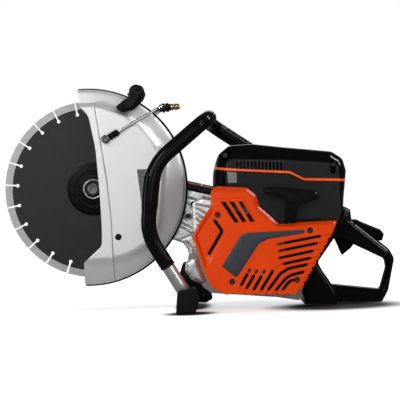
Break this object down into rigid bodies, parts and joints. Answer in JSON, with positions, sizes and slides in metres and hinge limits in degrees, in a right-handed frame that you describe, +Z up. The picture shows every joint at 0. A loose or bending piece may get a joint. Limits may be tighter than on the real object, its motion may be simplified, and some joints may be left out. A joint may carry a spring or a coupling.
{
  "type": "concrete cut-off saw",
  "caption": "Petrol cut-off saw with a segmented blade under a swinging guard, belt-drive arm, tube front handle, recoil starter, rear handle with trigger, and water feed on the guard.",
  "frame": {"origin": "on the ground plane, under the middle of the overall length and width", "axes": "+X from the blade to the rear handle, +Y from the starter side to the belt side, +Z up"},
  "size_m": [0.7561, 0.27, 0.4419],
  "materials": {
    "guard_silver": "satin silver paint",
    "blade_steel": "dark coated steel",
    "segment_steel": "sintered diamond segment",
    "machined_steel": "machined",
    "dark_steel": "blackened",
    "cast_alloy": "as cast",
    "tube_steel": "grey zinc",
    "orange_plastic": "moulded",
    "black_plastic": "moulded",
    "dark_grey_plastic": "moulded",
    "black_rubber": "moulded",
    "blank_plate": "printed film with no text",
    "brass_fitting": "machined",
    "bright_pipe": "polished stainless",
    "filter_paper": "pleated",
    "rope_fibre": "braided"
  },
  "bodies": {
    "saw": {"ball_bearings": "machined_steel", "cutting_arm": "cast_alloy", "drive_belt": "black_rubber", "belt_guard": "black_plastic", "clutch_cover": "black_plastic", "belt_side_bolts": "dark_steel", "orange_trim_strips": "orange_plastic", "crankcase_left_half": "cast_alloy", "crankcase_right_half": "cast_alloy", "cylinder": "cast_alloy", "spark_plug_and_lead": "black_rubber", "muffler_and_heat_shield": "machined_steel", "ignition_coil": "black_plastic", "carburettor": "cast_alloy", "air_box": "black_plastic", "air_filter": "filter_paper", "engine_cover_upper": "black_plastic", "engine_cover_lower": "dark_grey_plastic", "starter_housing": "orange_plastic", "starter_badge": "blank_plate", "housing_screws": "dark_steel", "recoil_spring": "machined_steel", "starter_rope": "rope_fibre", "front_handle_tube": "tube_steel", "front_handle_grip": "black_rubber", "front_feet": "black_rubber", "lower_bracket": "black_plastic", "handle_clamp": "black_plastic", "rear_handle_and_tank": "black_plastic", "handle_pins": "machined_steel", "vibration_mounts": "black_rubber"},
    "blade_assembly": {"blade_core": "blade_steel", "blade_segments": "segment_steel", "blade_flanges": "dark_steel", "blade_bolt_and_washer": "machined_steel", "spindle_shaft": "machined_steel", "spindle_pulley_and_nut": "machined_steel"},
    "crank_assembly": {"crankshaft": "machined_steel", "flywheel_fan": "cast_alloy", "centrifugal_clutch": "dark_steel"},
    "clutch_drum": {"clutch_drum_and_pulley": "machined_steel"},
    "piston": {"piston": "cast_alloy"},
    "guard": {"guard_front_section": "guard_silver", "guard_near_shell": "guard_silver", "guard_far_shell": "guard_silver", "guard_rubber_seal_and_plug": "black_rubber", "guard_label_plate": "blank_plate", "guard_lever": "black_plastic", "water_pipes": "bright_pipe", "water_fittings": "black_plastic", "water_inlet_nipple": "brass_fitting"},
    "starter_handle": {"starter_handle": "black_plastic"},
    "starter_spool": {"starter_spool": "black_plastic"},
    "throttle_trigger": {"throttle_trigger": "black_plastic"},
    "throttle_lockout": {"throttle_lockout": "black_plastic"},
    "throttle_lever": {"throttle_lever": "machined_steel"},
    "stop_switch": {"stop_switch": "black_plastic"},
    "choke_knob": {"choke_knob": "black_plastic"},
    "decompression_button": {"decompression_button": "black_plastic"},
    "fuel_cap": {"fuel_cap": "black_plastic"}
  },
  "joints": [
    {"name": "blade_spin", "type": "hinge", "parent": "saw", "child": "blade_assembly", "pos_m": [-0.203, 0.058, 0.24], "axis": [0, 1, 0], "continuous": true},
    {"name": "drum_spin", "type": "hinge", "parent": "saw", "child": "clutch_drum", "pos_m": [0.094, 0, 0.138], "axis": [0, 1, 0], "continuous": true},
    {"name": "crank_spin", "type": "hinge", "parent": "saw", "child": "crank_assembly", "pos_m": [0.094, 0, 0.138], "axis": [0, 1, 0], "continuous": true},
    {"name": "piston_stroke", "type": "slide", "parent": "saw", "child": "piston", "axis": [0, 0, -1], "range_m": [0, 0.038]},
    {"name": "guard_swing", "type": "hinge", "parent": "saw", "child": "guard", "pos_m": [-0.203, 0.058, 0.24], "axis": [0, -1, 0], "range_deg": [-10, 60]},
    {"name": "starter_pull", "type": "slide", "parent": "saw", "child": "starter_handle", "axis": [0, 0, 1], "range_m": [0, 0.65], "stiffness_N_per_m": 15, "springref_m": -0.5},
    {"name": "starter_spool_spin", "type": "hinge", "parent": "saw", "child": "starter_spool", "pos_m": [0.094, 0, 0.138], "axis": [0, 1, 0], "range_deg": [0, 1431]},
    {"name": "throttle_trigger_squeeze", "type": "hinge", "parent": "saw", "child": "throttle_trigger", "pos_m": [0.288, 0, 0.131], "axis": [0, -1, 0], "range_deg": [0, 16], "stiffness_Nm_per_rad": 0.5, "springref_deg": -17.19},
    {"name": "throttle_lever_turn", "type": "hinge", "parent": "saw", "child": "throttle_lever", "pos_m": [0.175, 0, 0.216], "axis": [0, 1, 0], "range_deg": [0, 66]},
    {"name": "throttle_lockout_press", "type": "hinge", "parent": "saw", "child": "throttle_lockout", "pos_m": [0.306, 0, 0.157], "axis": [0, 1, 0], "range_deg": [0, 8], "stiffness_Nm_per_rad": 0.5, "springref_deg": -17.19},
    {"name": "stop_switch_slide", "type": "slide", "parent": "saw", "child": "stop_switch", "axis": [1, 0, 0], "range_m": [0, 0.004]},
    {"name": "choke_pull", "type": "slide", "parent": "saw", "child": "choke_knob", "axis": [0, 1, 0], "range_m": [0, 0.012]},
    {"name": "decompression_press", "type": "slide", "parent": "saw", "child": "decompression_button", "axis": [0, -1, 0], "range_m": [0, 0.005], "stiffness_N_per_m": 300, "springref_m": -0.005},
    {"name": "fuel_cap_turn", "type": "hinge", "parent": "saw", "child": "fuel_cap", "pos_m": [0.229, 0, 0.122], "axis": [0, 1, 0], "range_deg": [0, 120]}
  ],
  "couplings": [
    {"joint": "drum_spin", "follows": "blade_spin", "ratio": 1.2143},
    {"joint": "starter_spool_spin", "follows": "starter_pull", "rad_per_m": 37.879},
    {"joint": "throttle_lever_turn", "follows": "throttle_trigger_squeeze", "ratio": 4}
  ]
}
